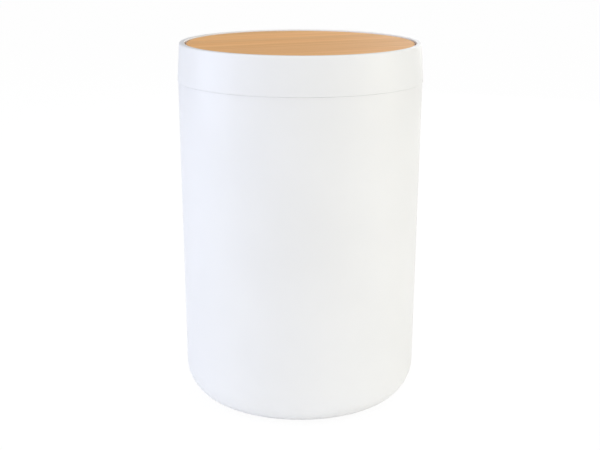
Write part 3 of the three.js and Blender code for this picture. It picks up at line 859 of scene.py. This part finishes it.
def make_carrier():
    low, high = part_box("lid_carrier")
    radius, top, bottom = high.y, high.z, low.z
    under = top - CARRIER_PLATE
    lip_in, lip_foot = radius - CARRIER_LIP, under - CARRIER_LIP_DEPTH
    edge = CARRIER_EDGE
    section = [(0, under), (CARRIER_LOOP, under)]
    section += arc(lip_in - edge, under - edge, edge, 90, 0, 3)
    section += arc(lip_in + edge, lip_foot + edge, edge, 180, 270, 3)
    section += arc(radius - edge, lip_foot + edge, edge, -90, 0, 3)
    section += arc(radius - edge, top - edge, edge, 0, 90, 3)
    section += [(CARRIER_LOOP, top), (0, top)]
    plate = spin_section("carrier", section, ROUND_STEPS)
    into = under + INTO_PLATE
    low, high = (-TROUGH_LONG, -TROUGH_WIDE, bottom), (TROUGH_LONG, TROUGH_WIDE, into)
    parts = [box_piece("trough", low, high, edge, 3)]
    for x in (-STIFFENER_X, STIFFENER_X):
        parts += stiffeners(x, lip_in, lip_foot + STIFFENER_RISE, into)
    for _, degrees in SIDES:
        parts += pin_boss(degrees, radius, into)
    carve(plate, "UNION", parts)

    long, wide = TROUGH_LONG - TROUGH_END, TROUGH_WIDE - TROUGH_WALL
    carve(plate, "DIFFERENCE", [
        box_piece("pocket", (-long, -wide, bottom - CUT_PAST), (long, wide, under), POCKET_EDGE)
    ])
    weight_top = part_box("counterweight")[1].z + GAP
    reach = wide + INTO_PLATE
    carve(plate, "UNION", [
        box_piece("web", (x - WEB_THICK / 2, -reach, weight_top), (x + WEB_THICK / 2, reach, into))
        for x in WEB_PLACES
    ])

    pin_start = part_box("pivot_pin_right")[0].x - GAP
    holes = [axis_peg(PIN_HOLE, pin_start, PIN_BOSS_END + CUT_PAST, degrees) for _, degrees in SIDES]
    for _, place in screw_places():
        holes.append(peg(CLEAR_HOLE, under - CUT_PAST, top + CUT_PAST, place.x, place.y, 32))
    for node, place in cover_screw_places():
        holes.append(peg(SCREW_HOLE, bottom - CUT_PAST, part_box(node)[1].z + GAP, place.x, 0, 32))
    return carve(plate, "DIFFERENCE", holes)


carrier_white = moulded_plastic(
    "carrier_white", (0.8, 0.802, 0.808, 1), (0.77, 0.772, 0.778, 1), 0.36, 0.5, skin=700.0, bump=0.00003
)
carrier = make_carrier()
fit_piece(carrier, "lid", "carrier_plastic", carrier_white, "lid_carrier")


# ---------------------------------------------------------------- pivot pins
# Each pin is a length of ground steel rod with a rounded tip, pushed into the carrier's boss.

PIN_RADIUS = 0.002
PIN_FOOT_EDGE = 0.0003
PIN_TIP_ROUND = 0.0006


def build_worked_metal():
    """Worked steel: fine marks along one direction, and a blotchy dull film over them."""
    group = bpy.data.node_groups.new("worked_metal", "ShaderNodeTree")
    face = group.interface
    for name, value in (("Bright", (0.6, 0.6, 0.6, 1)), ("Film", (0.4, 0.4, 0.4, 1))):
        face.new_socket(name, in_out="INPUT", socket_type="NodeSocketColor").default_value = value
    marks_in = face.new_socket("Marks", in_out="INPUT", socket_type="NodeSocketVector")
    marks_in.default_value = (40.0, 900.0, 900.0)
    for name, value in (("Polish", 0.22), ("Matt", 0.45)):
        face.new_socket(name, in_out="INPUT", socket_type="NodeSocketFloat").default_value = value
    add_finish_outputs(face)
    start = add_node(group, "NodeGroupInput")
    end = add_node(group, "NodeGroupOutput")
    place = add_node(group, "ShaderNodeTexCoord")
    link = group.links.new
    scaled = add_node(group, "ShaderNodeVectorMath", operation="MULTIPLY")
    link(place.outputs["Object"], scaled.inputs[0])
    link(start.outputs["Marks"], scaled.inputs[1])
    marks = add_node(group, "ShaderNodeTexNoise", {"Scale": 1.0, "Detail": 4.0, "Roughness": 0.65})
    link(scaled.outputs["Vector"], marks.inputs["Vector"])
    film = add_node(group, "ShaderNodeTexNoise", {"Scale": 220.0, "Detail": 4.0, "Roughness": 0.6})
    link(place.outputs["Object"], film.inputs["Vector"])
    tone = add_node(group, "ShaderNodeMix", data_type="RGBA")
    link(film.outputs["Fac"], tone.inputs["Factor"])
    link(start.outputs["Bright"], tone.inputs["A"])
    link(start.outputs["Film"], tone.inputs["B"])
    link(tone.outputs["Result"], end.inputs["Colour"])
    both = add_node(group, "ShaderNodeMath", operation="MULTIPLY")
    link(marks.outputs["Fac"], both.inputs[0])
    link(film.outputs["Fac"], both.inputs[1])
    sheen = add_node(group, "ShaderNodeMapRange", {"From Min": 0.12, "From Max": 0.42})
    link(both.outputs["Value"], sheen.inputs["Value"])
    link(start.outputs["Polish"], sheen.inputs["To Min"])
    link(start.outputs["Matt"], sheen.inputs["To Max"])
    link(sheen.outputs["Result"], end.inputs["Roughness"])
    link(marks.outputs["Fac"], end.inputs["Height"])
    return group


worked_metal = build_worked_metal()


def metal(name, bright, film, marks, polish, matt, bump=0.00001):
    material, tree, shader = new_material(name)
    finish = {"Bright": bright, "Film": film, "Marks": marks, "Polish": polish, "Matt": matt}
    surface = add_node(tree, "ShaderNodeGroup", node_tree=worked_metal)
    for key, value in finish.items():
        surface.inputs[key].default_value = value
    tree.links.new(surface.outputs["Colour"], shader.inputs["Base Color"])
    tree.links.new(surface.outputs["Roughness"], shader.inputs["Roughness"])
    add_bump(tree, shader, surface.outputs["Height"], bump)
    shader.inputs["Metallic"].default_value = 1.0
    return material


def make_pin(side, degrees):
    low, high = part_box("pivot_pin_right")
    section = [(0, low.x), (PIN_RADIUS - PIN_FOOT_EDGE, low.x), (PIN_RADIUS, low.x + PIN_FOOT_EDGE)]
    section += [(PIN_RADIUS, high.x - PIN_TIP_ROUND)]
    section += arc(PIN_RADIUS - PIN_TIP_ROUND, high.x - PIN_TIP_ROUND, PIN_TIP_ROUND, 0, 90, 4)
    section += [(0, high.x)]
    return lay_on_axis(spin_section(f"pin_{side}", section, 64), degrees)


ground_steel = metal(
    "ground_steel", (0.62, 0.63, 0.64, 1), (0.48, 0.49, 0.5, 1), (700.0, 60.0, 60.0), 0.16, 0.32
)
for side, degrees in SIDES:
    fit_piece(make_pin(side, degrees), "lid", "pin_steel", ground_steel, f"pivot_pin_{side}")


# ---------------------------------------------------------------- counterweight
# A length of flat steel bar, sawn to length, rounded at its edges and zinc plated, lies in the trough and
# brings the lid back level.

BAR_EDGE = 0.0008


def make_weight():
    low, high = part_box("counterweight")
    return box_piece("weight_bar", low, high, BAR_EDGE, 4)


plated_bar = metal(
    "plated_bar", (0.5, 0.51, 0.53, 1), (0.36, 0.36, 0.37, 1), (30.0, 500.0, 500.0), 0.3, 0.55, bump=0.00003
)
fit_piece(make_weight(), "lid", "weight_steel", plated_bar, "counterweight")


# ---------------------------------------------------------------- weight cover
# A white moulded strip closes the trough. It has round corners and a dished seat round each screw hole.

COVER_CORNER = 0.003
COVER_EDGE = 0.0004
SEAT_RADIUS = 0.0036
SEAT_DEPTH = 0.0005


def make_cover():
    low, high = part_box("counterweight_cover")
    cover = box_piece("weight_cover", low, high)
    round_edges(cover, COVER_CORNER, 8, lambda a, b: abs(a.z - b.z) > 1e-4)
    round_edges(cover, COVER_EDGE, 3, lambda a, b: abs(a.z - b.z) < 1e-5)
    cuts = []
    for _, place in cover_screw_places():
        cuts.append(peg(CLEAR_HOLE, low.z - CUT_PAST, high.z + CUT_PAST, place.x, 0, 32))
        cuts.append(peg(SEAT_RADIUS, low.z - CUT_PAST, low.z + SEAT_DEPTH, place.x, 0, 48))
    return carve(cover, "DIFFERENCE", cuts)


fit_piece(make_cover(), "lid", "carrier_plastic", carrier_white, "counterweight_cover")


# ---------------------------------------------------------------- screws
# Pan-head screws of zinc-plated steel, driven from below with a cross driver: two through the weight cover,
# six through the carrier into the bamboo.

HEAD_RADIUS = 0.0031
HEAD_HEIGHT = 0.0016
HEAD_DOME = ((0, 0), (0.0012, 0.00004), (0.0021, 0.0002), (0.0028, 0.00055))     # radius, and rise to it
HEAD_ROUND = 0.0003
HEAD_ROUND_RISE = 0.0011
HEAD_SEAT_EDGE = 0.0001
SHANK_RADIUS = 0.0015
THREAD_STEP = 0.0008
THREAD_DEPTH = 0.0003
THREAD_FLANK = 0.35        # share of the step that each flank takes up
POINT_LENGTH = 0.0011
THREAD_STOP = 0.0014
DRIVE_LONG = 0.0034
DRIVE_WIDE = 0.0007
DRIVE_DEPTH = 0.0009
DRIVE_EDGE = 0.0001
DRIVE_TURN = 30            # the screws on the right were left turned this much further


def make_screw(name, node):
    low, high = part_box(node)
    bottom, tip = low.z, high.z
    seat = bottom + HEAD_HEIGHT
    root = SHANK_RADIUS - THREAD_DEPTH
    flank = THREAD_STEP * THREAD_FLANK
    section = [(r, bottom + rise) for r, rise in HEAD_DOME]
    section += arc(HEAD_RADIUS - HEAD_ROUND, bottom + HEAD_ROUND_RISE, HEAD_ROUND, -20, 0, 2)
    section += [(HEAD_RADIUS, seat - 2 * HEAD_SEAT_EDGE), (HEAD_RADIUS - HEAD_SEAT_EDGE, seat), (root, seat)]
    z = seat + THREAD_STEP / 2
    while z < tip - THREAD_STOP:
        section += [(root, z - flank), (SHANK_RADIUS, z), (root, z + flank)]
        z += THREAD_STEP
    section += [(root, tip - POINT_LENGTH), (0, tip)]
    screw = spin_section(name, section, 48)
    middle = (low + high) / 2
    long, wide = DRIVE_LONG / 2, DRIVE_WIDE / 2
    slots = []
    for turn in (0, 90):
        low_end, high_end = (-long, -wide, bottom - CUT_PAST), (long, wide, bottom + DRIVE_DEPTH)
        bar = box_piece("driver", low_end, high_end, DRIVE_EDGE)
        slots.append(turn_about_z(bar, turn + DRIVE_TURN * (middle.x > 0)))
    carve(screw, "DIFFERENCE", slots)
    screw.location = (middle.x, middle.y, 0)
    bake_place()
    return screw


zinc = metal("zinc_plate", (0.66, 0.67, 0.69, 1), (0.5, 0.5, 0.52, 1), (300.0, 300.0, 300.0), 0.2, 0.4)
for screw_node, _ in cover_screw_places() + screw_places():
    screw = make_screw(screw_node.replace("_screw_", "_fixing_"), screw_node)
    fit_piece(screw, "lid", "screw_steel", zinc, screw_node)
